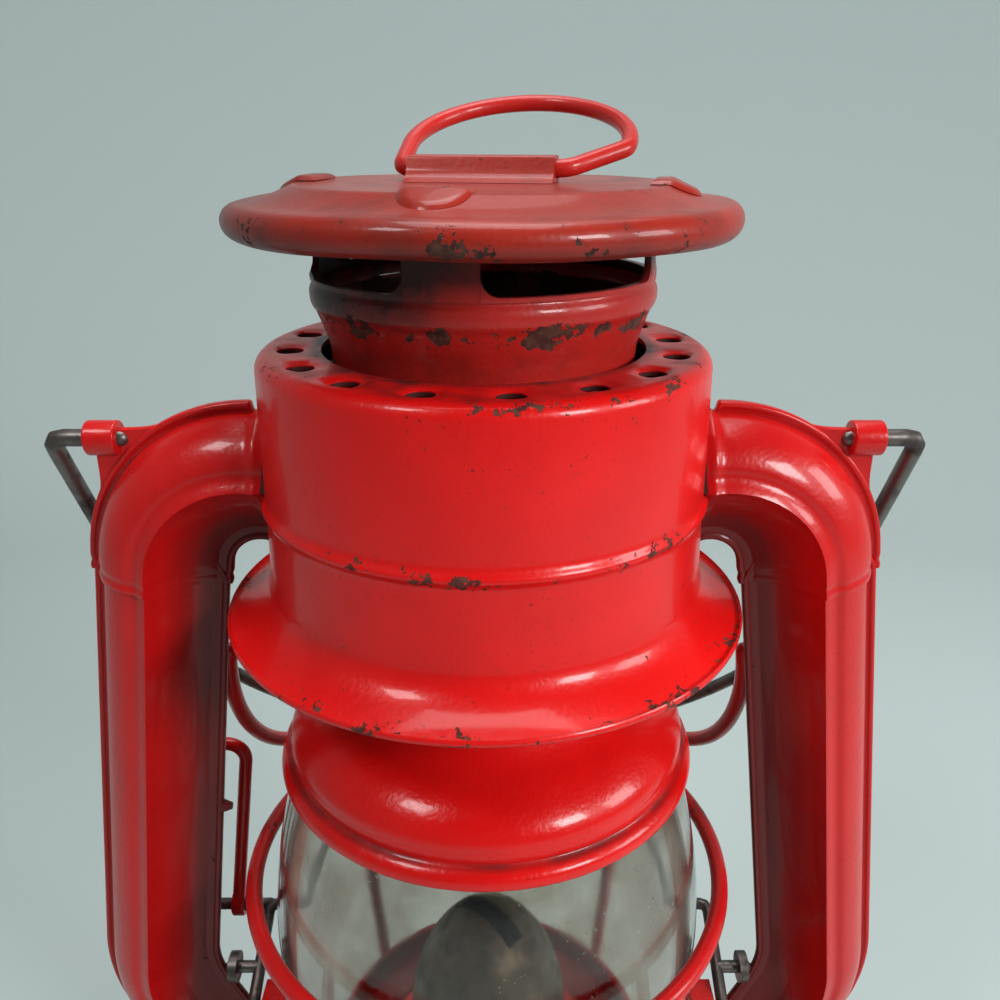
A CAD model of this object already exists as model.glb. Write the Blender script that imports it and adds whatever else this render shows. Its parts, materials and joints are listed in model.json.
"""A red hurricane lantern: its finishes, its fine shapes, the camera and the light."""

import json
import math

import bmesh
import bpy
import numpy as np
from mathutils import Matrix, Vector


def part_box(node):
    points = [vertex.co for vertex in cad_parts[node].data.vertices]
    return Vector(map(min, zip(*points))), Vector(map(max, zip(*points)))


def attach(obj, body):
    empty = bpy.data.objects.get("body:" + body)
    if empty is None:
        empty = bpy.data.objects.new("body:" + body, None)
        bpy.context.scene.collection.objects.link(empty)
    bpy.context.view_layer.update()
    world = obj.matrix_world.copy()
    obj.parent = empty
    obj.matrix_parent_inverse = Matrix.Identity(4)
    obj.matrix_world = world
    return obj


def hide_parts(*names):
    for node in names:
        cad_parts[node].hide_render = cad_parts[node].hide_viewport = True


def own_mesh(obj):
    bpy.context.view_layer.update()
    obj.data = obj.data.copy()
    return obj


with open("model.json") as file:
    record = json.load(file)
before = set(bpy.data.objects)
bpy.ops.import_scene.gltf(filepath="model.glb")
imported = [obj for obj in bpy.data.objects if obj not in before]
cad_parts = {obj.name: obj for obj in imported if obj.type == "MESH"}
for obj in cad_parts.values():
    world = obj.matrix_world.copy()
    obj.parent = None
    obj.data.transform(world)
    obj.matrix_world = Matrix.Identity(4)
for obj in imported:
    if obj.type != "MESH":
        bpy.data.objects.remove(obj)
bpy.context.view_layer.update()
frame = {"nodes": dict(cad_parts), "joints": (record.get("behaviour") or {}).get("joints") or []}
nodes = frame["nodes"]
joints = {joint["name"]: joint for joint in frame["joints"]}
MM = 0.001

# The camera stands close in front of the lantern and a little above its cap, and looks down on the drum.
# Its place is measured from the drum's shoulder, which is the middle of the picture.
drum_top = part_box("air_chamber_drum")[1].z / MM
shoulder_drop = 3.0
shoulder = drum_top - shoulder_drop
camera_back = 137.0
camera_rise = 33.0
camera_side = 2.4
camera_pitch = 22.1
focal_px, picture_px = 914.0, 1000

eye = bpy.data.cameras.new("eye")
eye.sensor_width = 36.0
eye.lens = eye.sensor_width * focal_px / picture_px
eye.clip_start = 0.005
camera = bpy.data.objects.new("camera", eye)
camera.location = (camera_side * MM, -camera_back * MM, (shoulder + camera_rise) * MM)
camera.rotation_euler = (math.radians(90 - camera_pitch), 0, 0)
bpy.context.scene.collection.objects.link(camera)
bpy.context.scene.camera = camera
bpy.context.scene.view_settings.view_transform = "Standard"


# The room is a plain pale floor that curves up into a round wall, with the lantern nearer its back.
# Broad soft lamps stand to the right, high on the left, above and behind, in an otherwise dim room.
class Socket:
    """One output of a shader node. Arithmetic on it adds Math nodes."""

    def __init__(self, finish, end):
        self.finish = finish
        self.end = end

    def math(self, operation, other=0.0, flip=False):
        """One Math node on this value and another, which comes first where flip is true."""
        pair = (other, self) if flip else (self, other)
        return self.finish.node("Math", {"operation": operation}, {0: pair[0], 1: pair[1]})

    def __add__(self, other):
        return self.math("ADD", other)

    def __sub__(self, other):
        return self.math("SUBTRACT", other)

    def __rsub__(self, other):
        return self.math("SUBTRACT", other, True)

    def __mul__(self, other):
        return self.math("MULTIPLY", other)

    def ramp(self, low, high):
        """0 up to low and 1 from high, smooth between; falls instead where low is the larger."""
        spread = {"Value": self, "From Min": low, "From Max": high, "To Min": 0.0, "To Max": 1.0}
        return self.finish.node("MapRange", {"interpolation_type": "SMOOTHSTEP"}, spread)

    def near(self, place, reach):
        """1 at place, falling smoothly to 0 at the distance reach."""
        return (self - place).math("ABSOLUTE").ramp(reach, 0.0)

    __radd__ = __add__
    __rmul__ = __mul__


class Finish:
    """A node material with its shader and the surface's own place in metres."""

    def __init__(self, name, **constant):
        self.material = bpy.data.materials.new(name)
        self.material.use_nodes = True
        self.tree = self.material.node_tree
        self.shader = self.tree.nodes["Principled BSDF"]
        for socket, value in constant.items():
            self.shader.inputs[socket.replace("_", " ")].default_value = value
        self.place = self.node("TexCoord", {}, {}, "Object")
        self.x, self.y, self.z = (self.node("SeparateXYZ", {}, {0: self.place}, axis) for axis in "XYZ")

    def node(self, kind, settings, inputs, output=0):
        """Adds one shader node, sets it up, links or fills its inputs and returns the named output."""
        node = self.tree.nodes.new("ShaderNode" + kind)
        for name, value in settings.items():
            setattr(node, name, value)
        for name, value in inputs.items():
            if isinstance(value, Socket):
                self.tree.links.new(value.end, node.inputs[name])
            else:
                node.inputs[name].default_value = value
        return Socket(self, node.outputs[output])

    def radius(self):
        """Distance from the lantern's axis."""
        return (self.x * self.x + self.y * self.y).math("POWER", 0.5)

    def noise(self, grain, detail=2.0, rough=0.5):
        """Smooth noise from 0 to 1 whose lumps are about `grain` metres across."""
        inputs = {"Vector": self.place, "Scale": 1 / grain, "Detail": detail, "Roughness": rough}
        return self.node("TexNoise", {}, inputs, "Fac")

    def blend(self, mask, low, high):
        """Colour low where the mask is 0, high where it is 1."""
        low, high = (c if isinstance(c, Socket) else (*c, 1) for c in (low, high))
        return self.node("Mix", {"data_type": "RGBA"}, {0: mask, 6: low, 7: high}, 2)

    def bump(self, height, depth):
        """A surface normal from a height of 0 to 1 that stands for `depth` metres."""
        return self.node("Bump", {}, {"Height": height, "Distance": depth, "Strength": 1.0})

    def set(self, **linked):
        """Links values to the shader's inputs."""
        for name, value in linked.items():
            self.tree.links.new(value.end, self.shader.inputs[name.replace("_", " ")])
        return self


def shape(name, grids, finish, sharp=40):
    """One object from grids of points in millimetres, shaped (rows, columns, 3). Neighbours make quads,
    and a grid may close on itself along its rows or its columns. Shared edges and poles are welded."""
    points, quads, first = [], [], 0
    for grid, close_rows, close_columns in grids:
        rows, columns = grid.shape[:2]
        index = first + np.arange(rows * columns).reshape(rows, columns)
        index = np.vstack([index, index[:1]]) if close_rows else index
        index = np.hstack([index, index[:, :1]]) if close_columns else index
        corners = [index[:-1, :-1], index[:-1, 1:], index[1:, 1:], index[1:, :-1]]
        quads.append(np.stack(corners, -1).reshape(-1, 4))
        points.append(grid.reshape(-1, 3) * MM)
        first += rows * columns
    mesh = bpy.data.meshes.new(name)
    mesh.from_pydata(np.vstack(points).tolist(), [], np.vstack(quads).tolist())
    weld = bmesh.new()
    weld.from_mesh(mesh)
    bmesh.ops.remove_doubles(weld, verts=weld.verts, dist=2e-6)
    bmesh.ops.dissolve_degenerate(weld, dist=1e-7, edges=weld.edges)
    bmesh.ops.recalc_face_normals(weld, faces=weld.faces)
    weld.to_mesh(mesh)
    weld.free()
    mesh.shade_smooth()
    mesh.set_sharp_from_angle(angle=math.radians(sharp))
    mesh.materials.append(finish.material)
    piece = bpy.data.objects.new(name, mesh)
    bpy.context.scene.collection.objects.link(piece)
    return piece


room_back, room_r, sweep_r, wall_h = 800.0, 1200.0, 350.0, 1300.0
pole_r = 0.001  # a profile's point on the axis, which the weld closes to a pole
rise = np.radians(np.linspace(0, 90, 25))
room_line = np.concatenate([
    [[pole_r, 0.0]],
    np.stack([room_r - sweep_r * (1 - np.sin(rise)), sweep_r * (1 - np.cos(rise))], -1),
    [[room_r, wall_h]],
])
bearing = np.linspace(0, 2 * np.pi, 96, endpoint=False)
room = np.stack([
    room_line[:, :1] * np.cos(bearing),
    room_line[:, :1] * np.sin(bearing) + room_back - room_r,
    room_line[:, 1:] + 0 * bearing,
], -1)
paper = Finish("pale_backdrop", Roughness=0.9, Base_Color=(0.43, 0.50, 0.49, 1))
backdrop = shape("backdrop", [(room, False, True)], paper)

world = bpy.data.worlds.new("soft_room")
world.use_nodes = True
sky = world.node_tree.nodes["Background"]
sky.inputs["Color"].default_value = (0.93, 0.96, 1.0, 1)
sky.inputs["Strength"].default_value = 0.01
bpy.context.scene.world = world

lamp_table = {  # place and size in metres, power in watts
    "window_right": ((0.75, -0.20, 0.45), 0.26, 2.6),
    "key_right": ((0.50, -0.50, 0.50), 0.20, 3.8),
    "fill_left": ((-0.40, -0.35, 0.85), 0.18, 1.9),
    "top_soft": ((0.00, 0.05, 1.00), 0.50, 4.6),
    "back_soft": ((0.10, 0.35, 1.00), 0.60, 1.6),
}
aim = np.array([0, 0, 0.19])
for lamp_name, (stand, size, watts) in lamp_table.items():
    light = bpy.data.lights.new(lamp_name, "AREA")
    light.shape = "SQUARE"
    light.size = size
    light.energy = watts
    lamp = bpy.data.objects.new(lamp_name, light)
    lamp.location = stand
    gaze = aim - np.array(stand)
    tilt = math.atan2(math.hypot(gaze[0], gaze[1]), -gaze[2])
    lamp.rotation_euler = (tilt, 0, math.atan2(-gaze[0], gaze[1]))
    bpy.context.scene.collection.objects.link(lamp)


# The tank is two pressed steel pans under thick red gloss, with a half-round band rolled over their seam.
# The paint is rubbed and chipped where the lantern is handled, most along beads and edges.
lathe_steps = 192


def lathe(profile, steps=lathe_steps):
    """A closed surface of revolution: each point (r, z) of the profile is turned about Z, so the surface is
    (r cos a, r sin a, z) with the angle a along the columns."""
    a = np.linspace(0, 2 * np.pi, steps, endpoint=False)
    r, z = profile[:, :1], profile[:, 1:]
    return np.stack([r * np.cos(a), r * np.sin(a), z + 0 * a], -1)


def fillet(corners, radius, steps=8):
    """The corners joined by straight lines, each inner corner rounded by a quadratic curve that leaves and
    meets its lines one radius away, or half a line where that is shorter."""
    corners = np.asarray(corners, float)
    radius = np.broadcast_to(radius, len(corners))
    line = [corners[:1]]
    t = np.linspace(0, 1, steps)[:, None]
    for before, corner, after, reach in zip(corners, corners[1:], corners[2:], radius[1:]):
        back, ahead = before - corner, after - corner
        a = corner + back * min(0.5, reach / np.linalg.norm(back))
        b = corner + ahead * min(0.5, reach / np.linalg.norm(ahead))
        line.append((1 - t) ** 2 * a + 2 * t * (1 - t) * corner + t ** 2 * b)
    return np.concatenate([*line, corners[-1:]])


def thick(line, wall):
    """A closed outline round a bent sheet: the line itself, then the line moved sideways by the wall and
    walked backwards, so the sheet lies to the right of the way the line runs."""
    way = np.gradient(line, axis=0)
    way /= np.linalg.norm(way, axis=1, keepdims=True)
    inside = line + wall * np.stack([way[:, 1], -way[:, 0]], -1)
    return np.concatenate([line, inside[::-1]])


PIT_RED = (0.070, 0.012, 0.010)
RUST_DARK = (0.018, 0.013, 0.012)
RUST_BROWN = (0.075, 0.040, 0.026)
SOOT = (0.020, 0.010, 0.009)


def worn_paint(name, colour, chips=None, amount=0.5, soot=None, dull=0.0):
    """Gloss paint on steel. The masks chips and soot are functions of the finish: chips raises the share of
    small bare spots, soot darkens and dulls. Orange peel, rubbed patches, pits and a soft tone are noise."""
    f = Finish(name, Coat_Roughness=0.10, Specular_IOR_Level=0.22)
    tone = f.noise(0.022, 3.0, 0.6)
    deep = tuple(0.86 * c for c in colour)
    base = f.blend(tone.ramp(0.30, 0.75), deep, colour)
    rubbed = f.noise(0.0045, 4.0, 0.65).ramp(0.55, 0.78) * f.noise(0.03, 2.0).ramp(0.4, 0.7)
    base = f.blend(rubbed * 0.30, base, tuple(0.75 * c + 0.02 for c in colour))
    spots = f.noise(0.0013, 3.0, 0.7)
    where = f.noise(0.007, 2.0, 0.5).ramp(0.46, 0.68)
    lean = where * 0.070 * amount
    if chips:
        lean = lean + chips(f) * (where * 0.75 + 0.25) * 0.26 * amount
    bare = (spots + lean).ramp(0.735, 0.765)
    pits = f.noise(0.0006, 2.0, 0.6).ramp(0.66, 0.73) * f.noise(0.015, 2.0).ramp(0.42, 0.60)
    base = f.blend(pits * (0.5 + 0.3 * amount), base, PIT_RED)
    rust = f.blend(f.noise(0.0016).ramp(0.35, 0.65), RUST_DARK, RUST_BROWN)
    base = f.blend(bare * 0.92, base, rust)
    rough = 0.26 + dull + tone * 0.14 + rubbed * 0.12 + bare * 0.35
    if soot:
        black = soot(f)
        base = f.blend(black, base, SOOT)
        rough = rough + black * 0.22
    peel = f.noise(0.0007, 1.0) * 0.45 + f.noise(0.0032, 1.0) * 0.55 - bare * 0.7
    return f.set(Base_Color=base, Roughness=rough, Coat_Weight=0.30 - bare * 0.30,
                 Normal=f.bump(peel, 0.00011))


def dress(name, grids, finish, body, slot, *replaced, sharp=40):
    """A finished piece that rides on a body and stands for the named solids."""
    piece = shape(name, grids, finish, sharp)
    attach(piece, body)
    if replaced:
        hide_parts(*replaced)
    return piece


TANK_RED = (0.68, 0.0065, 0.006)
tank_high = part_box("tank_bottom")[1]
tank_r = tank_high.x / MM
seam = tank_high.z / MM
tank_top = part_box("tank_top")[1].z / MM
foot_w, foot_h, shoulder_w, shoulder_h, crown_r = 5.0, 3.0, 14.0, 18.0, 19.3
wall = 0.8


def tank_wear(f):
    """Chips along the seam and round the foot."""
    return f.z.near(seam * MM, 0.004) + f.z.ramp(0.004, 0.0)


tank_paint = worn_paint("tank_paint", TANK_RED, tank_wear, 0.9)

pan = fillet([
    [pole_r, foot_h], [tank_r - foot_w, foot_h], [tank_r - foot_w, 0], [tank_r, 0], [tank_r, seam],
], [0, 0, 1.0, 1.8, 0])
pan_inside = [[tank_r - wall, seam], [tank_r - wall, foot_h + wall], [pole_r, foot_h + wall]]
dress("tank_pan", [(lathe(np.concatenate([pan, pan_inside])), True, True)], tank_paint,
      "frame", "tank_paint", "tank_bottom")

climb = np.radians(np.linspace(0, 90, 16))[:, None]
edge_r = tank_r - shoulder_w
dome = np.hstack([edge_r + shoulder_w * np.cos(climb), seam + shoulder_h * np.sin(climb)])
collar_r = 14.85
dome_crown = fillet([dome[-1], [crown_r, tank_top], [collar_r, tank_top]], 4.0)
dome = np.concatenate([dome, dome_crown[1:]])
dress("tank_dome", [(lathe(thick(dome[::-1], wall)[::-1]), True, True)], tank_paint,
      "frame", "tank_paint", "tank_top")

bulge = np.radians(np.linspace(-90, 90, 17))[:, None]
band_sunk = 0.2
band_low, band_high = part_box("tank_seam_band")
band_h = (band_high.z - band_low.z) / MM / 2
band_r = band_high.x / MM - tank_r
band = np.hstack([tank_r - band_sunk + (band_r + band_sunk) * np.cos(bulge), seam + band_h * np.sin(bulge)])
dress("seam_band", [(lathe(band), True, True)], tank_paint, "frame", "tank_paint", "tank_seam_band")


# The filler is a tinned neck soldered into the dome, closed by a fluted screw cap over a cork disc.
# A tin baffle inside the tank keeps the air from the tubes apart from the fuel.
def coat(finish, *names):
    """Gives solids that keep their own shape a finish."""
    for name in names:
        nodes[name].data.materials.clear()
        nodes[name].data.materials.append(finish.material)


def bare_metal(name, colour, dark, rough, grain=0.004, metallic=1.0):
    """Bare sheet or wire: tarnish in soft patches and fine streaks, duller where it is darker."""
    f = Finish(name)
    patch = f.noise(grain, 4.0, 0.6)
    streak = f.noise(0.0007, 2.0, 0.6)
    stain = patch.ramp(0.42, 0.66) * 0.8 + streak.ramp(0.5, 0.8) * 0.2
    f.set(Base_Color=f.blend(stain, colour, dark), Roughness=stain * 0.25 + rough,
          Metallic=metallic - stain * 0.35, Normal=f.bump(patch * 0.5 + streak * 0.5, 0.00004))
    return f


tin = bare_metal("tin_plate", (0.50, 0.49, 0.47), (0.17, 0.155, 0.14), 0.34)
brass = bare_metal("dull_brass", (0.55, 0.40, 0.17), (0.20, 0.13, 0.06), 0.32)
cork = Finish("pressed_cork", Roughness=0.85)
crumbs = cork.noise(0.0015, 3.0)
cork.set(Base_Color=cork.blend(crumbs.ramp(0.35, 0.7), (0.25, 0.14, 0.07), (0.58, 0.41, 0.25)),
         Normal=cork.bump(crumbs, 0.0002))
coat(tin, "filler_neck", "tank_baffle")
coat(cork, "filler_gasket")


def fluted(profile, flutes, depth, centre, steps=240):
    """A turned shape with rounded flutes: the radius at angle a grows by depth times the third column of the
    profile times the square of cos(flutes a / 2)."""
    a = np.linspace(0, 2 * np.pi, steps, endpoint=False)
    r = profile[:, :1] + depth * profile[:, 2:] * np.cos(flutes * a / 2) ** 2
    return np.stack([centre[0] + r * np.cos(a), centre[1] + r * np.sin(a), profile[:, 1:2] + 0 * a], -1)


screw_low, screw_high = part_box("filler_cap")
screw_mid = np.array((screw_low + screw_high) / 2) / MM
screw_z0, screw_z1 = screw_low.z / MM, screw_high.z / MM
flute_n, flute_depth = 20, 0.6
screw_r = (screw_high.x - screw_low.x) / MM / 2 - flute_depth
screw_wall, screw_plate = 0.9, screw_z1 - 1.7
screw_line = np.concatenate([
    [[screw_r - screw_wall, screw_z0, 0], [screw_r, screw_z0, 0]],
    [[screw_r, screw_z0 + 0.5, 0], [screw_r, screw_z0 + 0.9, 1]],
    [[screw_r, screw_plate, 1], [screw_r, screw_plate + 0.5, 0], [screw_r - 0.3, screw_plate + 0.8, 0]],
    [[screw_r - 1.2, screw_plate + 0.95, 0], [screw_r - 3, screw_z1 - 0.1, 0], [pole_r, screw_z1, 0]],
    [[pole_r, screw_plate, 0], [screw_r - screw_wall, screw_plate, 0]],
])
dress("screw_cap", [(fluted(screw_line, flute_n, flute_depth, screw_mid), True, True)], tank_paint,
      "filler_cap", "tank_paint", "filler_cap")


# The burner screws into a brass collar: a tin body with a slotted dome, and a flat cotton wick that a wire
# spindle with two toothed wheels feeds up from the tank.
def holed(outer, inner, rows):
    """Points between two loops of equal length: each row is a fixed share of the way from the inner loop to
    the outer one."""
    t = np.linspace(0, 1, rows)[:, None, None]
    return inner + (outer - inner) * t


burnt = bare_metal("burnt_tin", (0.25, 0.21, 0.16), (0.075, 0.062, 0.050), 0.42, 0.005, 0.8)
coat(brass, "burner_collar", "wick_tube")
coat(tin, "burner_base", "wick_spindle", "spur_wheels", "wick_knob")
cotton = Finish("wick_cotton", Roughness=0.95)
weave = cotton.node("TexWave", {"bands_direction": "DIAGONAL"},
                    {"Vector": cotton.place, "Scale": 900.0, "Distortion": 1.0}, "Fac")
wick_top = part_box("wick")[1].z
char = cotton.z.ramp(wick_top - 0.008, wick_top)
thread = cotton.blend(weave, (0.50, 0.42, 0.28), (0.80, 0.72, 0.55))
cotton.set(Base_Color=cotton.blend(char, thread, (0.02, 0.018, 0.016)), Normal=cotton.bump(weave, 0.0002))
coat(cotton, "wick")

cone_low, cone_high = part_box("burner_cone")
cone_z0, cone_z1 = cone_low.z / MM, cone_high.z / MM
cone_r, cone_flange, cone_foot, burner_wall = 16.0, 18.0, 15.0, 0.7
dome_h = cone_z1 - cone_z0 - cone_foot
slot_w, slot_d, slot_ring = 7.5, 2.1, 9.0
spindle_turn = math.radians(-42)


def cone_skin(flat, drop):
    """The dome over a point (x, y): height h sqrt(1 - r² / R²) above the dome's foot, lowered by drop."""
    r = np.linalg.norm(flat, axis=-1, keepdims=True) / (cone_r - drop)
    return np.concatenate([flat, cone_z0 + cone_foot + (dome_h - drop) * np.sqrt(1 - r ** 2)], -1)


round_once = np.linspace(0, 2 * np.pi, 96, endpoint=False)
unit_ring = np.stack([np.cos(round_once), np.sin(round_once)], -1)
slot_square = 1.35  # how far past the slot's sides the ellipse goes that they cut
slot_size = np.array([slot_w, slot_d])
slot_loop = np.clip(slot_size * slot_square * unit_ring, -slot_size, slot_size)
swing = np.array([[math.cos(spindle_turn), math.sin(spindle_turn)],
                  [-math.sin(spindle_turn), math.cos(spindle_turn)]])
slot_loop, slot_edge = slot_loop @ swing, slot_ring * unit_ring @ swing
top_skin = cone_skin(holed(slot_edge, slot_loop, 8), 0.0)
under_skin = cone_skin(holed(slot_edge, slot_loop, 8), burner_wall)
lift = np.linspace(0, math.asin(math.sqrt(1 - (slot_ring / cone_r) ** 2)), 14)
cone_side = np.stack([cone_r * np.cos(lift), cone_z0 + cone_foot + dome_h * np.sin(lift)], -1)
in_r, in_h = cone_r - burner_wall, dome_h - burner_wall
lift_in = np.linspace(math.asin(math.sqrt(1 - (slot_ring / in_r) ** 2)), 0, 14)
cone_inside = np.stack([in_r * np.cos(lift_in), cone_z0 + cone_foot + in_h * np.sin(lift_in)], -1)
flange_top = cone_z0 + burner_wall
skirt_line = np.concatenate([
    cone_inside, [[in_r, cone_z0], [cone_flange, cone_z0], [cone_flange, flange_top], [cone_r, flange_top]],
    cone_side,
])
skirt_up = np.broadcast_to(skirt_line[:, None, 1:], (len(skirt_line), len(round_once), 1))
skirt_grid = np.concatenate([skirt_line[:, None, :1] * (unit_ring @ swing), skirt_up], -1)
dress("burner_dome", [
    (np.concatenate([under_skin[::-1], top_skin]), False, True), (skirt_grid, False, True),
], burnt, "frame", "tin_plate", "burner_cone")


# Each side tube and each elbow is two pressed steel halves, front and back, whose flanges lie flat on each
# other and are folded over. A sharp rib runs down the middle of each half, and the elbow slips over the tube.
elbow_z = shoulder - 17.7
bend_r, bend_x = 16.5, 37.0
bend_z = elbow_z - bend_r
splay, lower_lean, lower_r = math.radians(7.8), math.radians(25), 26.0
lower_z = tank_top + 52.0
tube_w, tube_d, tube_wall = 18.6, 18.0, 0.6
elbow_w, elbow_d, socket_l = 19.9, 19.3, 4.0
flange_w, flange_t, flange_x = 1.8, 0.6, 35.9
TUBE_RED = (0.56, 0.0065, 0.0070)


def line_of(start, end, normal, count):
    """Stations on a straight run: the place (x, z) and the outward normal at each."""
    t = np.linspace(0, 1, count)[:, None]
    return np.hstack([start + (end - start) * t, np.broadcast_to(normal, (count, 2))])


def bend_of(centre, radius, start, end, count):
    """Stations on a bend about a centre in the plane of the tubes, with the normal away from the centre."""
    a = np.linspace(start, end, count)[:, None]
    way = np.hstack([np.cos(a), np.sin(a)])
    return np.hstack([centre + radius * way, way])


def half_loop(w, d, wall):
    """One half of the tube's section as (across, out) points, outside then inside. With u = 2 across / w and
    h the depth d / 2 less the rib, the face away from the lantern is round, out = h (1 - u²)^0.5, the face
    towards it is hollow, out = h (1 - |u|)^0.8 less a scoop, and a rib with a crease beside it stands where
    they meet. A third column is 1 or -1 on the hems, which each station pushes out by the flange's width."""
    rib_h = 0.7
    u = np.cos(np.linspace(0, np.pi, 65))
    across = w / 2 * u
    tall = d / 2 - rib_h
    round_face = tall * np.sqrt(1 - u ** 2)
    hollow_face = tall * ((1 - np.abs(u)) ** 0.8 - 0.22 * np.sin(np.pi * np.abs(u)))
    rib = rib_h * np.exp(-(across / 0.8) ** 2) - 0.4 * np.exp(-((across - 2.2) / 0.9) ** 2)
    out = np.where(u > 0, round_face, hollow_face) + rib
    skin = np.stack([across, np.maximum(out, flange_t), 0 * u], -1)
    inner = np.stack([across * (1 - 2 * wall / w), np.maximum(out - wall, 0), 0 * u], -1)
    edge = np.array([[0, 0], [0, 0.5], [-0.15, 0.9], [-0.5, 1.05], [-0.9, 0.9], [-1.2, flange_t]])
    edge = np.hstack([edge + [w / 2, 0], np.ones((6, 1))])
    far = edge[::-1] * [-1, 0.75, -1]
    ends = [np.repeat(inner[:1] * [1, 0, 0], 6, 0), np.repeat(inner[-1:] * [1, 0, 0], 6, 0)]
    return np.concatenate([edge, skin, far]), np.concatenate([ends[0], inner, ends[1]])


def pressed(stations, loop, leaf, grow, side, face):
    """A pressed half: the section's points carried along the stations. leaf holds the outer and the inner
    flange's width and grow the section's scale at each station; side mirrors it left or right and face turns
    it to the front or back."""
    place, normal = stations[:, None, :2], stations[:, None, 2:]
    skins = []
    for points in loop:
        push = points[:, 2] * np.where(points[:, 2] > 0, leaf[:, :1], leaf[:, 1:])
        across = points[:, 0] * grow[:, None] + push
        flat = place + normal * across[..., None]
        out = np.broadcast_to(points[:, 1] * grow[:, None], across.shape)
        skins.append(np.stack([side * flat[..., 0], face * out, flat[..., 1]], -1))
    return skins


def halves(name, stations, w, d, leaf, grow, foot=None):
    """All four halves of a tube or elbow, left and right, front and back, closed at both ends."""
    for side, hand in ((-1, "left"), (1, "right")):
        for face, half in ((-1, "front"), (1, "back")):
            outer, inner = pressed(stations, half_loop(w, d, tube_wall), leaf, grow, side, face)
            if foot:
                outer, inner = foot(outer, side), foot(inner, side)
            body = np.concatenate([outer, inner[:, ::-1]], 1)
            ends = [np.stack([outer[0], inner[0]]), np.stack([outer[-1], inner[-1]])]
            node = f"{hand}_{name}_{half}"
            dress(f"{node}_pressing", [(body, False, True), (ends[0], False, False), (ends[1], False, False)],
                  tube_paint, "frame", "tube_paint", node, sharp=50)


bend_mid = np.array([bend_x, bend_z])
down = np.array([math.sin(splay), -math.cos(splay)])
lean_out = np.array([math.cos(splay), math.sin(splay)])
bend_end = bend_mid + bend_r * lean_out


def tube_grime(f):
    """Dirt on the lantern's side of each tube, most beside the flange: in the hollow face of the straight
    run, whose middle line leans out by the splay, and inside the elbow's bend. The gap beside the drum is
    dark too."""
    side = f.x.math("ABSOLUTE")
    axis_foot = (bend_end[0] + bend_end[1] * math.tan(splay)) * MM
    across, up = side - bend_x * MM, f.z - bend_z * MM
    above = f.z.ramp((bend_end[1] - 0.5) * MM, (bend_end[1] + 0.5) * MM)
    straight = axis_foot - f.z * math.tan(splay) - side
    bent = bend_r * MM - (across * across + up * up).math("POWER", 0.5)
    depth = straight * (1 - above) + bent * above
    lift = f.z - elbow_z * MM
    slit = (side + lift * 0.06).ramp(0.0338, 0.0335) * f.y.ramp(-0.004, -0.006) * lift.near(0.0015, 0.0085)
    hollow = depth.ramp(0.0005, 0.006) * 0.40 + depth.ramp(0.0050, 0.0078) * 0.35
    return (hollow + slit).math("MINIMUM", 0.95)


tube_paint = worn_paint("tube_paint", TUBE_RED, lambda f: f.y.near(0.0, 0.0012) * 0.8, 0.6, tube_grime)
elbow_in, neck_x, hem_run = 31.5, 34.7, 0.4
elbow_line = np.concatenate([
    line_of(np.array([elbow_in, elbow_z]), np.array([bend_x, elbow_z]), [0, 1], 23)[:-1],
    bend_of(bend_mid, bend_r, np.pi / 2, splay, 40)[:-1],
    line_of(bend_end, bend_end + socket_l * down, lean_out, 14),
])
elbow_leaf = flange_w * np.clip((elbow_line[:, :1] - [flange_x, 0]) / hem_run, 0, 1)
walked = np.linalg.norm(elbow_line[:, :2] - elbow_line[-1, :2], axis=1)
crimp = 1 - 0.022 * np.exp(-((walked - 1.6) / 0.55) ** 2) - 0.012 * np.exp(-(walked / 0.35) ** 2)
crimp += 0.05 * np.exp(-((elbow_line[:, 0] - neck_x) / 0.9) ** 2)
halves("elbow", elbow_line, elbow_w, elbow_d, elbow_leaf, crimp)

lower_start = bend_end + (bend_end[1] - lower_z) * np.array([math.tan(splay), -1])
lower_mid = lower_start - lower_r * lean_out
inward = np.array([-math.sin(lower_lean), -math.cos(lower_lean)])
lean_in = np.array([math.cos(lower_lean), -math.sin(lower_lean)])
lower_end = lower_mid + lower_r * lean_in
foot_rows = 14
tube_line = np.concatenate([
    line_of(bend_end + 0.2 * down, lower_start, lean_out, 30)[:-1],
    bend_of(lower_mid, lower_r, splay, -lower_lean, 24)[:-1],
    line_of(lower_end, lower_end + inward, lean_in, foot_rows),
])


def on_tank(points, side):
    """Stretches the last straight run so that every point ends half a millimetre inside the tank's dome,
    where ((r - edge) / shoulder width)² + ((z - seam) / shoulder height)² = 1, found by halving."""
    longest, halvings, sunk = 70.0, 24, 0.5
    start = points[-foot_rows]
    way = np.array([side * inward[0], 0, inward[1]])
    near, far = np.zeros(len(start)), np.full(len(start), longest)
    for _ in range(halvings):
        mid = (near + far) / 2
        spot = start + way * mid[:, None]
        past = np.maximum(np.linalg.norm(spot[:, :2], axis=1) - edge_r, 0) / (shoulder_w - sunk)
        inside = past ** 2 + ((spot[:, 2] - seam) / (shoulder_h - sunk)) ** 2 < 1
        near, far = np.where(inside, near, mid), np.where(inside, mid, far)
    run = np.linspace(0, 1, foot_rows)[:, None, None] * near[:, None] * way
    return np.concatenate([points[:-foot_rows], start + run])


hem_top = bend_end[1] - socket_l + 2.0
tube_leaf = np.repeat(flange_w * np.clip((hem_top - tube_line[:, 1:2]) / hem_run, 0, 1), 2, 1)
halves("side_tube", tube_line, tube_w, tube_d, tube_leaf, np.ones(len(tube_line)), on_tank)


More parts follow.
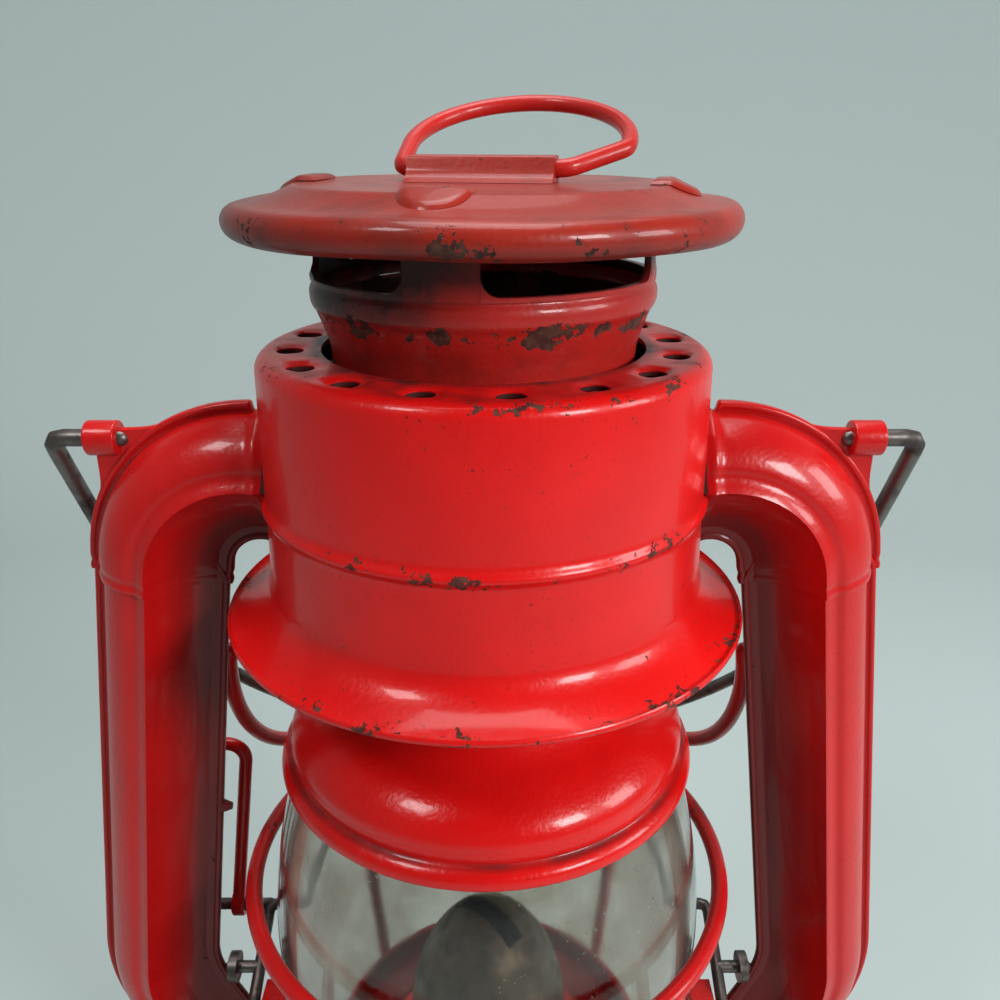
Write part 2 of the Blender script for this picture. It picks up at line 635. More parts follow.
# A steel ear stands on each elbow's outer seam: a web that sweeps out of the flange to a rolled knuckle, in
# which the end of the bail turns.
ear_at, ear_reach, ear_half_t = math.radians(44), 4.6, 0.6
ear_edge = bend_r + elbow_w / 2 + flange_w - 0.7
knuckle_at = bend_mid + (bend_r + elbow_w / 2 + 5.45) * np.array([math.cos(ear_at), math.sin(ear_at)])
knuckle_r, knuckle_half, knuckle_bore = 2.8, 2.5, 1.46
fan = np.radians(np.linspace(-36, 36, 49))[:, None]
web_r = ear_edge + 0.3 + ear_reach * np.exp(-(fan / math.radians(10)) ** 2)
web_r = np.hstack([ear_edge + 0 * fan, web_r - 0.25, web_r, web_r, web_r - 0.25, ear_edge + 0 * fan])
web_y = np.array([-1, -1, -0.5, 0.5, 1, 1]) * ear_half_t + 0 * web_r
knuckle_loop = fillet([[knuckle_bore, -knuckle_half], [knuckle_r, -knuckle_half],
                       [knuckle_r, knuckle_half], [knuckle_bore, knuckle_half]], 0.4)
for side, hand in ((-1, "left"), (1, "right")):
    web = np.stack([side * (bend_x + web_r * np.cos(fan + ear_at)), web_y,
                    bend_z + web_r * np.sin(fan + ear_at)], -1)
    knuckle = lathe(knuckle_loop, 48)[..., [2, 0, 1]] + [side * knuckle_at[0], 0, knuckle_at[1]]
    dress(f"{hand}_ear", [(web, False, True), (knuckle, True, True)], tube_paint,
          "frame", "tube_paint", f"{hand}_bail_ear")


# The air chamber is a drawn drum: a flat top with sixteen punched air holes, a rounded shoulder, a rolled
# bead and a flared skirt over the globe plate. A flat floor with a short sleeve guides the chimney.
drum_r, drum_hole_r, drum_edge_r, drum_sheet = 34.0, 24.3, 2.2, 0.8
drum_flat_r, drum_edge_z = drum_r - drum_edge_r, drum_top - drum_edge_r
bead_z, flare_r = shoulder - 19.7, 34.6
flare_z, skirt_z, skirt_r = shoulder - 33.0, shoulder - 39.6, 42.0
hole_n, hole_r, hole_ring = 16, 2.0, 28.8
DRUM_RED = (0.72, 0.0060, 0.0055)


def spin(points, angle):
    """Turns points about the lantern's axis."""
    c, s = math.cos(angle), math.sin(angle)
    return points @ np.array([[c, s, 0], [-s, c, 0], [0, 0, 1]])


def drum_wear(f):
    """More chips on the bead, the shoulder's edge and the rim of the skirt."""
    bead = f.z.near(bead_z * MM, 0.0024)
    rim = f.z.near(skirt_z * MM, 0.0022) * 0.9
    edge = f.z.near((drum_top - 0.6) * MM, 0.0014) * f.radius().ramp(0.0310, 0.0325) * 0.8
    return bead + rim + edge


def drum_grime(f):
    """Dirt round the chimney and soot inside the drum."""
    collar = f.radius().ramp((drum_hole_r + 2.7) * MM, drum_hole_r * MM)
    round_hole = collar * f.z.ramp((drum_top - 0.5) * MM, (drum_top - 0.1) * MM) * 0.55
    stain = f.noise(0.007, 3.0).ramp(0.42, 0.70) * f.z.ramp((drum_top - 0.3) * MM, (drum_top - 0.05) * MM)
    wall_in = f.radius().ramp((drum_r - 0.3) * MM, (drum_r - 0.6) * MM)
    inside = wall_in * f.z.ramp((drum_top - 1.9) * MM, (drum_top - 2.3) * MM)
    flat_in = f.radius().ramp(drum_flat_r * MM, (drum_flat_r - 0.4) * MM)
    under_top = flat_in * f.z.ramp((drum_top - 0.40) * MM, (drum_top - 0.65) * MM)
    return (round_hole + stain * 0.55 + inside + under_top).math("MINIMUM", 0.95)


drum_paint = worn_paint("drum_paint", DRUM_RED, drum_wear, 1.0, drum_grime)
over_turn = np.radians(np.linspace(90, 0, 13))[:, None]
over_round = np.hstack([np.cos(over_turn), np.sin(over_turn)])
over = [drum_flat_r, drum_edge_z] + drum_edge_r * over_round
swell = np.linspace(-2.4, 2.4, 25)[:, None]
belt = np.hstack([drum_r + 0.30 + 0.75 * np.exp(-(swell / 0.95) ** 2), bead_z - swell])
flare_end = math.radians(50)
flare = np.linspace(0, flare_end, 14)[:, None]
flare_out, flare_down = skirt_r - 0.5 - flare_r, flare_z - skirt_z - 0.5
skirt = np.hstack([flare_r + flare_out * (1 - np.cos(flare)) / (1 - math.cos(flare_end)),
                   flare_z - flare_down * np.sin(flare) / math.sin(flare_end)])
lip_r, lip_turn = 0.75, np.radians(np.linspace(50, -150, 13))[:, None]
lip = np.hstack([skirt_r - lip_r + lip_r * np.cos(lip_turn), skirt_z + 0.55 + lip_r * np.sin(lip_turn)])
wall_line = np.concatenate([belt, skirt])
under = over_round[::-1] * (drum_edge_r - drum_sheet) + [drum_flat_r, drum_edge_z]
drum_loop = np.concatenate([over, wall_line, lip, wall_line[::-1] - [drum_sheet, 0], under])

sector = np.arange(-6, 7) * 2 * np.pi / lathe_steps
reach = np.linspace(0, 1, 7)[1:-1]
polar = np.concatenate([
    np.stack([np.full(13, drum_flat_r), sector], -1),
    np.stack([drum_flat_r + (drum_hole_r - drum_flat_r) * reach, np.full(5, sector[-1])], -1),
    np.stack([np.full(13, drum_hole_r), sector[::-1]], -1),
    np.stack([drum_hole_r + (drum_flat_r - drum_hole_r) * reach, np.full(5, sector[0])], -1),
])
border = polar[:, :1] * np.stack([np.cos(polar[:, 1]), np.sin(polar[:, 1])], -1)
toward = border - [hole_ring, 0]
punched = [hole_ring, 0] + hole_r * toward / np.linalg.norm(toward, axis=1, keepdims=True)
sector_flat = holed(border, punched, 7)
dish = 0.35 * np.exp(-(np.linspace(0, 1, 7) / 0.22) ** 2)[:, None, None] + 0 * sector_flat[..., :1]
top_face = np.concatenate([sector_flat, drum_top - dish], -1)
low_face = np.concatenate([sector_flat, drum_top - drum_sheet - dish], -1)
sector_plate = np.concatenate([low_face[::-1], top_face])
hole_wall = np.array([[drum_hole_r, drum_top], [drum_hole_r, drum_top - drum_sheet]])
drum_grids = [(lathe(drum_loop), False, True), (lathe(hole_wall), False, True)]
for turn in np.radians(-82.5 + 360 / hole_n * np.arange(hole_n)):
    drum_grids.append((spin(sector_plate, turn), False, True))
dress("drum_shell", drum_grids, drum_paint, "frame", "drum_paint", "air_chamber_drum", sharp=35)
coat(drum_paint, "air_chamber_floor")


# A steel spring round the chimney, inside the drum, presses the chimney and its plate down on the globe. It
# stands on a tin ring that is pressed onto the chimney. Its upper half gives when the globe is raised, its
# lower half when the ring is pulled.
def wire(path, radius, closed=False, sides=16):
    """A round wire along a path: circles of the radius across the path's direction, carried along it without
    twist, and domed ends that shrink as a quarter circle where the path is open."""
    path = np.asarray(path, float)
    dome_turn = np.radians([90, 60, 30])
    if not closed:
        ways = path[[1, -1]] - path[[0, -2]]
        ways /= np.linalg.norm(ways, axis=1, keepdims=True)
        ends = np.sin(dome_turn)[:, None] * radius
        path = np.concatenate([path[0] - ways[0] * ends, path, path[-1] + ways[1] * ends[::-1]])
    ahead = np.roll(path, -1, 0) - np.roll(path, 1, 0) if closed else np.gradient(path, axis=0)
    ahead /= np.linalg.norm(ahead, axis=1, keepdims=True)
    across = np.empty_like(path)
    slanted = [0.31, 0.17, 0.93]  # along no wire here, so that it gives a first direction across
    side = np.cross(ahead[0], slanted)
    for i, way in enumerate(ahead):
        side = side - way * (side @ way)
        side = side / np.linalg.norm(side)
        across[i] = side
    swing_back = 0.0
    if closed:
        last = across[-1] - ahead[0] * (across[-1] @ ahead[0])
        swing_back = math.atan2(np.cross(last, across[0]) @ ahead[0], last @ across[0])
    other = np.cross(ahead, across)
    twist = np.linspace(0, swing_back, len(path))[:, None]
    a = np.linspace(0, 2 * np.pi, sides, endpoint=False)[None] + twist
    r = np.full(len(path), radius)
    if not closed:
        r[:3] = r[:-4:-1] = radius * np.cos(dome_turn) + 1e-4
    ring = across[:, None] * np.cos(a)[..., None] + other[:, None] * np.sin(a)[..., None]
    return path[:, None] + ring * r[:, None, None], closed, True


def smooth(corners, radius, count=8, step=1.5):
    """A path through corners in space, each rounded as in a bent wire, with points about step apart."""
    line = fillet(corners, radius, count)
    gaps = np.linalg.norm(np.diff(line, axis=0), axis=1)
    walk = np.concatenate([[0], np.cumsum(gaps)])
    keep = np.concatenate([[True], gaps > 1e-6])
    marks = np.linspace(0, walk[-1], max(8, int(walk[-1] / step)))
    return np.stack([np.interp(marks, walk[keep], line[keep, axis]) for axis in range(3)], -1)


chimney_r = 22.7
spring_low, spring_high = (corner.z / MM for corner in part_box("chimney_spring"))
spring_wire, spring_r, spring_turns = 0.5, chimney_r + 2.5, 5
end_share = 0.55 / (2 * np.pi * spring_r * spring_turns)  # a domed end's share of the wire
steel = bare_metal("spring_steel", (0.36, 0.35, 0.34), (0.10, 0.085, 0.075), 0.36, 0.006)


def coil(start, end):
    """The spring's wire from one share t of its height to another: a helix, at the angle 2 pi turns t and
    with an even pitch."""
    t = np.linspace(start, end, 161)
    a = 2 * np.pi * spring_turns * t
    up = spring_low + spring_wire + (spring_high - spring_low - 2 * spring_wire) * t
    return wire(np.stack([spring_r * np.cos(a), spring_r * np.sin(a), up], -1), spring_wire, sides=10)


upper_coil = dress("upper_spring", [coil(0.5 + end_share, 1)], steel, "frame", "tin_plate", "chimney_spring")
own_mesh(upper_coil)
lower_coil = dress("lower_spring", [coil(0, 0.5 - end_share)], steel, "globe_carrier", "tin_plate")
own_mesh(lower_coil)
coat(tin, "spring_stop")


# The chimney is a rolled steel tube with a bead under four windows. Four legs carry the cap, and their tabs
# pass through it and are bent over. Soot has browned the paint, and it is scratched bare under the bead.
cap_low, cap_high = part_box("chimney_cap")
cap_top, cap_under, cap_r = cap_high.z / MM, cap_low.z / MM, cap_high.x / MM
chimney_turn = math.radians(-11.5)
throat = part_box("chimney_tube")[0].z / MM
neck_bead, sill, leg_r, sheet = shoulder + 11.2, shoulder + 13.9, 24.8, 0.8
flare_start, leg_foot, leg_half, corner_r = shoulder + 4, sill - 0.6, 5.0, 2.4


def chimney_scratch(f):
    """Bare scratched steel in a band in the crease under the bead, and rubbed edges on the legs."""
    band = f.z.near((shoulder + 8.7) * MM, 0.0026) * 2.0
    return band + f.z.ramp((sill + 2) * MM, (cap_under + 2) * MM) * 0.35


def chimney_soot(f):
    """Brown soot above the crease, thicker to the left and on the legs, black inside and within the drum."""
    streaks = f.noise(0.006, 4.0, 0.65).ramp(0.38, 0.70)
    climb = f.z.ramp((shoulder + 8.8) * MM, (sill + 1.5) * MM)
    left = f.x.ramp(0.004, -0.016) * f.z.ramp((shoulder + 8.5) * MM, (neck_bead - 0.5) * MM)
    legs = f.z.ramp(sill * MM, (sill + 2.5) * MM) * 0.40
    widening = leg_r - 0.2 - chimney_r
    rising = (f.z - flare_start * MM) * (widening / (neck_bead - 2 - flare_start))
    widened = rising.math("MAXIMUM", 0.0).math("MINIMUM", widening * MM)
    inner = (widened + chimney_r * MM - f.radius()).ramp(0.00018, 0.00032)
    below_top = f.z.ramp((drum_top - 0.4) * MM, (drum_top - 1.6) * MM)
    sunk = below_top * f.z.ramp((flare_z - 1) * MM, (flare_z + 2) * MM) * 0.9
    smudge = streaks * f.z.near((shoulder + 5.0) * MM, 0.004) * 0.35
    dim = climb * (streaks * 0.28 + 0.16) + left * (streaks * 0.25 + 0.62)
    return (dim + legs + inner + sunk + smudge).math("MINIMUM", 0.94)


CHIMNEY_RED = (0.46, 0.016, 0.012)
chimney_paint = worn_paint("chimney_paint", CHIMNEY_RED, chimney_scratch, 1.3, chimney_soot, 0.05)
flue_line = fillet([
    [chimney_r, throat], [chimney_r, flare_start], [leg_r - 0.2, neck_bead - 2],
    [leg_r + 0.5, neck_bead - 1.0], [leg_r + 0.6, neck_bead + 0.8], [leg_r, neck_bead + 1.8],
    [leg_r, leg_foot],
], [0, 2.0, 0.5, 0.8, 0.8, 0.8, 0])
flue_loop = np.concatenate([flue_line[::-1] - [sheet, 0], flue_line])

leg_top = cap_top - sheet - 0.1
quarter = np.pi / 2 * leg_r
side_lean = 0.02  # a leg's side leans by this arc, so that its points stay apart
rounding = np.radians(np.linspace(0, 90, 9))
window_s = leg_half + side_lean + corner_r * (1 - np.cos(rounding))
window_z = sill + corner_r * (1 - np.sin(rounding))
edge_s = np.concatenate([
    np.linspace(-leg_half, leg_half, 13), window_s,
    np.linspace(leg_half + corner_r + side_lean, quarter - leg_half - corner_r - side_lean, 14)[1:-1],
    quarter - window_s[::-1],
])
edge_z = np.concatenate([np.full(13, leg_top), window_z, np.full(12, sill), window_z[::-1]])
around = (edge_s / leg_r + np.arange(4)[:, None] * np.pi / 2).ravel()
edge_z = np.tile(edge_z, 4)
level = np.linspace(0, 1, 10)[:, None]
band_z = leg_foot + (edge_z - leg_foot) * level
swelled = 0.35 * np.exp(-((band_z - sill) / 1.2) ** 2)
leg_skins = [
    np.stack([skin_r * np.cos(around), skin_r * np.sin(around), band_z], -1)
    for skin_r in (leg_r - sheet + 0 * band_z, leg_r + swelled)
]
legs = np.concatenate([leg_skins[0], leg_skins[1][::-1]])
chimney_grids = [(lathe(flue_loop), True, True), (spin(legs, chimney_turn), True, True)]
dress("chimney_shell", chimney_grids, chimney_paint, "chimney", "chimney_paint", "chimney_tube", sharp=35)


# The cap is a shallow pressed lid with a flat middle, a hollow slope and a fat rolled rim, a little dented.
# A folded strip on top of it is the sleeve in which the lift ring turns.
cap_rim, cap_flat = 2.3, 26.6
rim_mid_r, rim_mid_z = cap_r - cap_rim, cap_under + cap_rim


def cap_wear(f):
    """Chips on the rolled rim and at the edge of the flat middle."""
    rim = f.radius().ramp((cap_r - 2.6) * MM, (cap_r - 0.4) * MM) * 0.75
    return rim + f.radius().near(cap_flat * MM, 0.0012) * 0.6


def cap_grime(f):
    """Soot on the left and along the rim's underside, and a brown bloom on the top."""
    patch = f.noise(0.012, 4.0, 0.6)
    left = f.x.ramp(-0.012, -0.036) * 0.55
    low = f.z.ramp((cap_under + 2.4) * MM, cap_under * MM) * 0.45
    return (left * (patch * 0.6 + 0.6) + low + patch.ramp(0.48, 0.72) * 0.30).math("MINIMUM", 0.88)


CAP_RED = (0.32, 0.015, 0.006)
cap_paint = worn_paint("cap_paint", CAP_RED, cap_wear, 1.0, cap_grime, 0.08)
fall = np.linspace(0, 1, 15)[:, None]
fall_h = cap_top - cap_under - 2 * cap_rim
slope = np.hstack([cap_flat + (rim_mid_r - cap_flat) * fall, cap_top - fall_h * np.sin(fall * np.pi / 2)])
lid_flat = np.stack([np.linspace(pole_r, cap_flat - 0.5, 12), np.full(12, cap_top)], -1)
lid_line = np.concatenate([lid_flat, slope])
rim_turn = np.radians(np.linspace(80, -90, 20))[:, None]
rim_round = np.hstack([np.cos(rim_turn), np.sin(rim_turn)])
rim = [rim_mid_r, rim_mid_z] + cap_rim * rim_round
rim_in = [rim_mid_r, rim_mid_z] + (cap_rim - sheet) * rim_round
rim_end = rim_mid_r - 1.5
cap_loop = np.concatenate([
    lid_line, rim, [[rim_end, cap_under], [rim_end, cap_under + sheet]],
    rim_in[::-1], lid_line[::-1] - [0, sheet],
])
lid = lathe(cap_loop)
lid_turn = np.arctan2(lid[..., 1], lid[..., 0])
outward = (np.hypot(lid[..., 0], lid[..., 1]) / cap_r) ** 4
lid[..., 2] += outward * (0.14 * np.sin(3 * lid_turn + 0.8) + 0.09 * np.sin(7 * lid_turn + 2.1))
dress("cap_lid", [(lid, True, True)], cap_paint, "chimney", "cap_paint", "chimney_cap")


def pad(outline, lie, height, rows=9):
    """A thin plate over an outline (x, y) that lies on the surface lie(r): its top stands height (1 - t^8)
    above that, where t is the share of the way from the middle to the outline."""
    t = np.linspace(0, 1, rows)[:, None, None] ** 0.5
    middle = outline.mean(0)
    flat = middle + (outline - middle) * t
    low = lie(np.linalg.norm(flat, axis=-1, keepdims=True))
    top = np.concatenate([flat, low + height * (1 - t ** 8)], -1)
    return np.concatenate([top, np.concatenate([flat, low], -1)[::-1]])


tab_in, tab_mid, tab_half = leg_r - 1.5 * sheet, leg_r - 1.5 * sheet + 2.5, 4.5
half_round = np.radians(np.linspace(-90, 90, 25))
tab_outline = np.concatenate([
    np.stack([np.full(7, tab_in), np.linspace(tab_half, -tab_half, 7)], -1),
    np.stack([np.linspace(tab_in, tab_mid, 4)[1:-1], np.full(2, -tab_half)], -1),
    np.stack([tab_mid + tab_half * np.cos(half_round), tab_half * np.sin(half_round)], -1),
    np.stack([np.linspace(tab_mid, tab_in, 4)[1:-1], np.full(2, tab_half)], -1),
])
tab = pad(tab_outline, lambda r: np.interp(r, lid_line[:, 0], lid_line[:, 1]) + 0.1, 0.7)
tab_grids = [(spin(tab, turn), False, True) for turn in chimney_turn + np.arange(4) * np.pi / 2]
dress("bent_tabs", tab_grids, cap_paint, "chimney", "cap_paint")

ring_wire_r = 1.25
pivot = joints["ring_swing"]["pos_m"][2] / MM
sleeve_half, sleeve_low, bore = 10.5, cap_top + 0.06 - pivot, ring_wire_r + 0.06
fold = fillet([
    [-4.8, sleeve_low], [-3.0, sleeve_low + 0.7], [-1.7, 1.75], [1.6, 1.75], [2.0, 0.5], [2.3, sleeve_low],
    [-4.8, sleeve_low],
], [0, 1.2, 0.35, 0.6, 0.8, 0.2, 0])
walk = np.concatenate([[0], np.cumsum(np.linalg.norm(np.diff(fold, axis=0), axis=1))])
marks = np.linspace(0, walk[-1], 73)[:-1]
fold = np.stack([np.interp(marks, walk, fold[:, 0]), np.interp(marks, walk, fold[:, 1])], -1)
hole = bore * fold / np.linalg.norm(fold, axis=1, keepdims=True)
strip = np.stack([
    np.insert(section, 0, x, 1) for section, x in
    ((hole, -sleeve_half), (fold, -sleeve_half), (fold, sleeve_half), (hole, sleeve_half))
]) + [0, 0, pivot]
dress("ring_fold", [(spin(strip, chimney_turn), True, True)], cap_paint,
      "chimney", "cap_paint", "ring_sleeve", sharp=30)


# The lift ring is one bent steel wire under red paint, worn dark where fingers pull it.
# Its straight side turns in the sleeve, and at rest it leans up from there towards the back.
def tip(points, angle):
    """Turns points about the X axis."""
    c, s = math.cos(angle), math.sin(angle)
    return points @ np.array([[1, 0, 0], [0, c, s], [0, -s, c]])


def ring_wear(f):
    """Chips in loose groups, all round the wire."""
    return f.noise(0.02).ramp(0.5, 0.7)


ring_half, ring_reach, ring_shift, ring_lean = 17.6, 27.4, 3.4, math.radians(20)
ring_end = sleeve_half + ring_wire_r + 0.3
loop_r = ring_half - ring_wire_r
loop_at = ring_reach - ring_half
RING_RED = (0.50, 0.016, 0.012)
ring_paint = worn_paint("ring_paint", RING_RED, ring_wear, 0.35, None, 0.05)
sweep = np.radians(np.linspace(188, -8, 61))
hoop = np.stack([ring_shift + loop_r * np.cos(sweep), loop_at + loop_r * np.sin(sweep), 0 * sweep], -1)
ring_path = np.concatenate([[[0, 0, 0], [-ring_end, 0, 0]], hoop, [[ring_end, 0, 0], [0, 0, 0]]])
ring_path = smooth(ring_path, 1.6, 6, 0.8)[:-1]
ring_path = spin(tip(ring_path, ring_lean), chimney_turn) + [0, 0, pivot]
dress("lift_hoop", [wire(ring_path, ring_wire_r, closed=True)], ring_paint,
      "lift_ring", "drum_paint", "lift_ring")


# The globe plate hangs under the chimney and covers the globe's mouth: a pressed bell with a hollow throat, a
# round shoulder, a groove and a rolled rim, in the same red as the drum.
plate_low, plate_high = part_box("globe_plate")
plate_r, plate_rim, plate_neck = plate_high.x / MM, plate_low.z / MM + 0.4, plate_high.z / MM
globe_low, globe_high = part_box("globe")
globe_z, globe_top, globe_r = globe_low.z / MM, globe_high.z / MM, globe_high.x / MM
plate_throat = globe_top + 8.0
bell = fillet([
    [chimney_r, plate_throat], [25.2, plate_rim + 14.0], [31.0, plate_rim + 10.8], [34.3, plate_rim + 7.2],
    [plate_r - 2.2, plate_rim + 3.6], [plate_r - 2.0, plate_rim + 3.2],
], [0, 2.2, 3.0, 3.2, 0.3, 0], 10)
plate_roll = fillet([
    bell[-1], [plate_r - 1.0, plate_rim + 2.7], [plate_r - 0.1, plate_rim + 1.8], [plate_r, plate_rim],
    [plate_r - 1.2, plate_rim - 0.4], [plate_r - 1.7, plate_rim + 0.6],
], [0, 0.5, 0.8, 0.8, 0.6, 0], 6)
neck_r, bell_drop = chimney_r - sheet - 0.05, 1.1
neck_in = neck_r - sheet
plate_out = np.concatenate([[[neck_r, plate_neck], [neck_r, plate_throat]], bell, plate_roll[1:]])
plate_in = np.concatenate([
    bell[::-1] - [0, bell_drop], [[neck_in, plate_throat - bell_drop], [neck_in, plate_neck]],
])


def plate_wear(f):
    """Chips on the rolled rim."""
    return f.z.near(plate_rim * MM, 0.002) * 0.7


def plate_grime(f):
    """Dirt in the groove above the rolled rim."""
    outer = f.radius().ramp((plate_r - 3.2) * MM, (plate_r - 2.4) * MM)
    groove = f.z.near((plate_rim + 3.1) * MM, 0.0007) * outer
    return groove * (f.noise(0.008, 3.0).ramp(0.35, 0.65) * 0.45 + 0.30)


plate_paint = worn_paint("plate_paint", DRUM_RED, plate_wear, 0.5, plate_grime, -0.07)
dress("plate_bell", [(lathe(np.concatenate([plate_out, plate_in])), True, True)], plate_paint,
      "chimney", "drum_paint", "globe_plate")


# The globe is blown clear glass, open at both ends with fire-rounded lips, a little dusty. It stands on a
# painted steel seat, which two bent brackets join to the lever's cranks.
glass_t, belly, mouth_r, lip_h = 1.8, globe_z + 42.0, 29.0, 0.9
half_h = (globe_top - belly) / math.sqrt(1 - (mouth_r / globe_r) ** 2)
up = np.linspace(globe_z + lip_h, globe_top - lip_h, 60)[:, None]
glass_out = np.hstack([globe_r * np.sqrt(1 - ((up - belly) / half_h) ** 2), up])
glass_in = np.hstack([(globe_r - glass_t) * np.sqrt(1 - ((up - belly) / (half_h - glass_t)) ** 2), up])


def lip_round(first, last, height):
    """Half an ellipse in the plane (r, z), from one edge of the glass to the other, height out at its top."""
    a = np.radians(np.linspace(0, 180, 9)[1:-1])[:, None]
    return (first + last) / 2 + (first - last) / 2 * np.cos(a) + np.array([0, height]) * np.sin(a)


globe_loop = np.concatenate([
    glass_out, lip_round(glass_out[-1], glass_in[-1], lip_h),
    glass_in[::-1], lip_round(glass_in[0], glass_out[0], -lip_h),
])
glass = Finish("clear_glass", Transmission_Weight=1.0, IOR=1.46)
film = glass.noise(0.011, 4.0, 0.6)
dust = glass.noise(0.0007, 2.0).ramp(0.66, 0.74) * film.ramp(0.45, 0.65)
smoke = film.ramp(0.28, 0.66) * glass.z.ramp((belly - 40) * MM, globe_top * MM)
glass.set(Base_Color=glass.blend(smoke * 0.8 + dust * 0.2, (0.80, 0.78, 0.73), (0.44, 0.35, 0.28)),
          Roughness=film * 0.05 + dust * 0.3 + smoke * 0.06 + 0.01,
          Normal=glass.bump(glass.noise(0.02), 0.0001))
dress("blown_globe", [(lathe(globe_loop), True, True)], glass, "globe_carrier", "globe_glass", "globe")
coat(plate_paint, "globe_seat", "lift_brackets")


# Painted wires guard the globe. A ring stands round its belly on four uprights from the seat, and behind the
# globe a wire hangs in a bow from tube to tube.
guard_r, guard_wire, guard_z = 43.4, 1.5, globe_z + 55.0
foot_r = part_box("globe_seat")[1].x / MM + guard_wire + 0.05
seat_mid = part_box("globe_seat")[0].z / MM + 0.6
knee_r, knee_z = globe_r + guard_wire + 0.3, globe_z + 27.5
WIRE_RED = (0.58, 0.008, 0.008)
wire_paint = worn_paint("wire_paint", WIRE_RED, lambda f: f.noise(0.015).ramp(0.5, 0.7), 0.6)
belt_turn = np.linspace(0, 2 * np.pi, 180, endpoint=False)
guard_belt = np.stack([guard_r * np.cos(belt_turn), guard_r * np.sin(belt_turn), guard_z + 0 * belt_turn], -1)
guard_grids = [wire(guard_belt, guard_wire, True)]
upright = smooth([[foot_r, 0, seat_mid], [knee_r, 0, knee_z], [guard_r, 0, guard_z]], 9.0, 12)
for turn in np.radians([45, 135, 225, 315]):
    guard_grids.append(wire(spin(upright, turn), guard_wire))
dress("globe_guard", guard_grids, wire_paint, "globe_carrier", "drum_paint", "guard_ring")

hang_drop, hang_r = 11.4, 48.5
hang_z = bend_end[1] - hang_drop
tube_edge = bend_end[0] + hang_drop * math.tan(splay) - (tube_w / 2 + 1.4) / math.cos(splay)
near_r = tube_edge - guard_wire + 0.4
back_turn = np.linspace(3, 177, 161)
from_tube = np.minimum(back_turn, 180 - back_turn)
back_r = near_r + (hang_r - near_r) * (1 - np.exp(-from_tube / 5))
back_bow = np.stack([back_r * np.cos(np.radians(back_turn)), back_r * np.sin(np.radians(back_turn)),
                     guard_z + (hang_z - guard_z) * np.exp(-from_tube / 16)], -1)
dress("back_guard", [wire(back_bow, guard_wire)], wire_paint, "frame", "tube_paint", "back_guard_wire")


# The lever is one cranked wire. Its shafts turn in drilled lugs on the tubes, its front pins lift the
# brackets and its rear bow carries the thumb loop's pin, so pressing the loop down raises the globe.
dark_steel = bare_metal("dark_wire", (0.16, 0.14, 0.13), (0.035, 0.026, 0.022), 0.38, 0.005, 0.9)
lever_r, crank, crank_dip = 1.2, 12.5, math.radians(24)
lever_z = joints["lever_press"]["pos_m"][2] / MM
lug_out, arm, pin_in = 52.464, 46.564, 41.5
loop_wire, loop_half = 1.3, 3.5
loop_x, loop_y = -(lug_out + loop_half + 0.7), crank * (1 + math.cos(crank_dip)) / 2
rear_turn = np.radians(np.linspace(0, 180, 61))
rear = np.stack([pin_in * np.cos(rear_turn), crank + pin_in * np.sin(rear_turn), 0 * rear_turn], -1)
shafts = [smooth([[side * arm, 0, 0], [side * lug_out, 0, 0]], 1.0) for side in (-1, 1)]
cranked = np.concatenate([
    [[pin_in, -crank, 0], [arm, -crank, 0], [arm, crank, 0]], rear,
    [[-arm, crank, 0], [-arm, -crank, 0], [-pin_in, -crank, 0]],
])
cranked = smooth(cranked, 1.8, 6, 1.0)
loop_pin = smooth([[-arm, crank, 0], [loop_x - loop_half - loop_wire - 1.5, crank, 0]], 1.0)
lever_paths = [*shafts, cranked, loop_pin]
lever_grids = [wire(tip(path, crank_dip) + [0, 0, lever_z], lever_r) for path in lever_paths]
dress("lever_bow", lever_grids, dark_steel, "lever", "dark_wire", "lever_wire")
coat(dark_steel, "lever_lugs")
coat(tube_paint, "lever_catch")


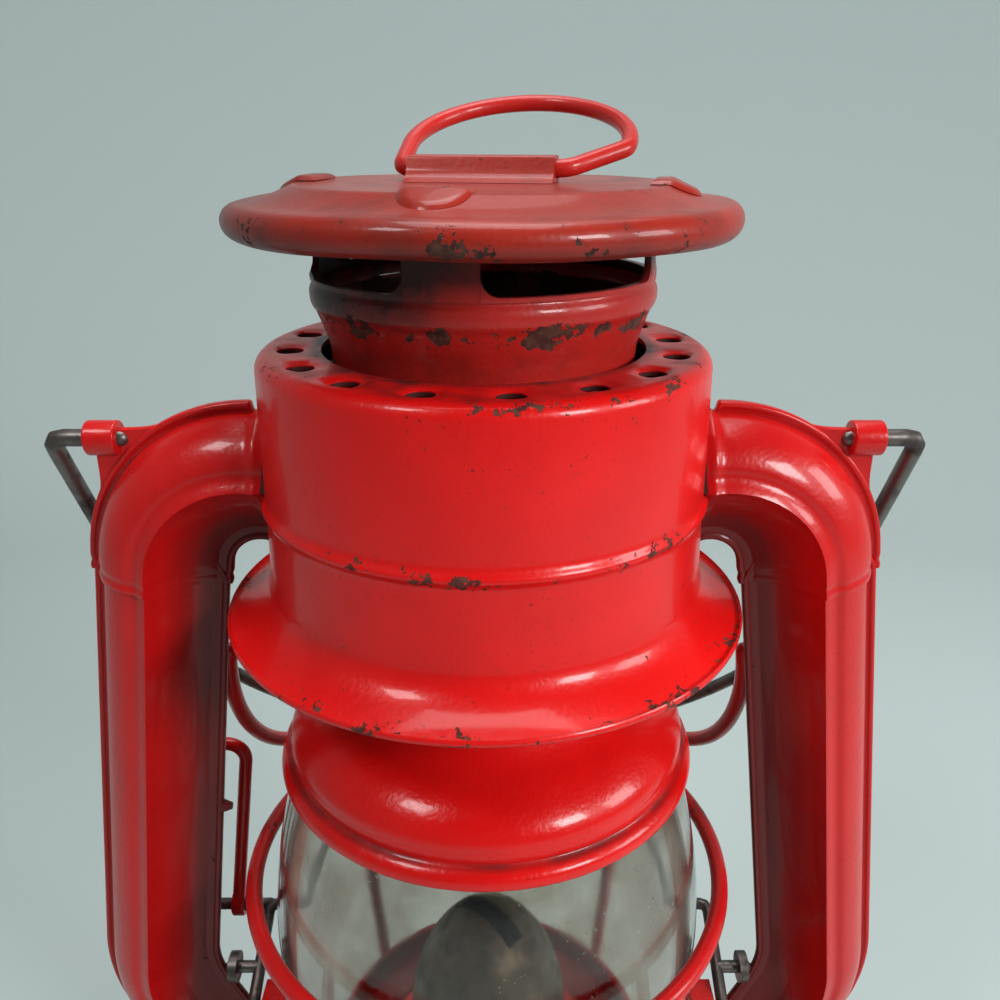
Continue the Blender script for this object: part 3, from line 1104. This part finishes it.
# The thumb loop is a hairpin of steel wire under red paint, which stands beside the left tube.
# Each of its legs ends in an eye, bent round the pin on the lever's rear bow with a little room.
crank_z = lever_z + crank * math.sin(crank_dip)
leg = 46.0 - crank * math.sin(crank_dip) - loop_half
top_x = leg * math.tan(splay)
crown_turn = np.radians(np.linspace(180, 0, 25))
crown = np.stack([top_x + loop_half * np.cos(crown_turn), 0 * crown_turn,
                  leg + loop_half * np.sin(crown_turn)], -1)
eye_at = np.array([loop_x, loop_y, crank_z])
eye_out, eye_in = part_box("thumb_loop")[1].y / MM - loop_y, 1.89
hairpin = np.concatenate([[[-loop_half, 0, eye_out - 0.5]], crown, [[loop_half, 0, eye_out - 0.5]]])
hairpin = smooth(hairpin, 0.5, 4, 0.8) + eye_at
eye_loop = fillet([[eye_in, -loop_wire], [eye_out, -loop_wire],
                   [eye_out, loop_wire], [eye_in, loop_wire]], 0.5)
loop_grids = [wire(hairpin, loop_wire)]
for side in (-1, 1):
    loop_eye = lathe(eye_loop, 48)[..., [2, 0, 1]] + eye_at + [side * loop_half, 0, 0]
    loop_grids.append((loop_eye, True, True))
dress("thumb_hairpin", loop_grids, wire_paint, "thumb_loop", "drum_paint", "thumb_loop")


# The bail is a bare steel wire, bent to a long bow that hangs behind the lantern at rest.
# Its ends are turned inwards and swing in the ears' knuckles.
bail_r, bail_half, bail_leg, bail_rest = 1.4, 68.5, 42.0, math.radians(30)
swing_z = joints["bail_swing"]["pos_m"][2] / MM
pin_x = knuckle_at[0] - knuckle_half - 0.3
bail_turn = np.radians(np.linspace(0, -180, 91))
bail_bow = np.stack([bail_half * np.cos(bail_turn), 0 * bail_turn,
                     -bail_leg + bail_half * np.sin(bail_turn)], -1)
bail_path = np.concatenate([
    [[pin_x, 0, 0], [bail_half, 0, 0]], bail_bow, [[-bail_half, 0, 0], [-pin_x, 0, 0]],
])
bail_path = tip(smooth(bail_path, 2.2, 8, 1.5), bail_rest) + [0, 0, swing_z]
dress("carry_bail", [wire(bail_path, bail_r)], dark_steel, "bail", "dark_wire", "bail")
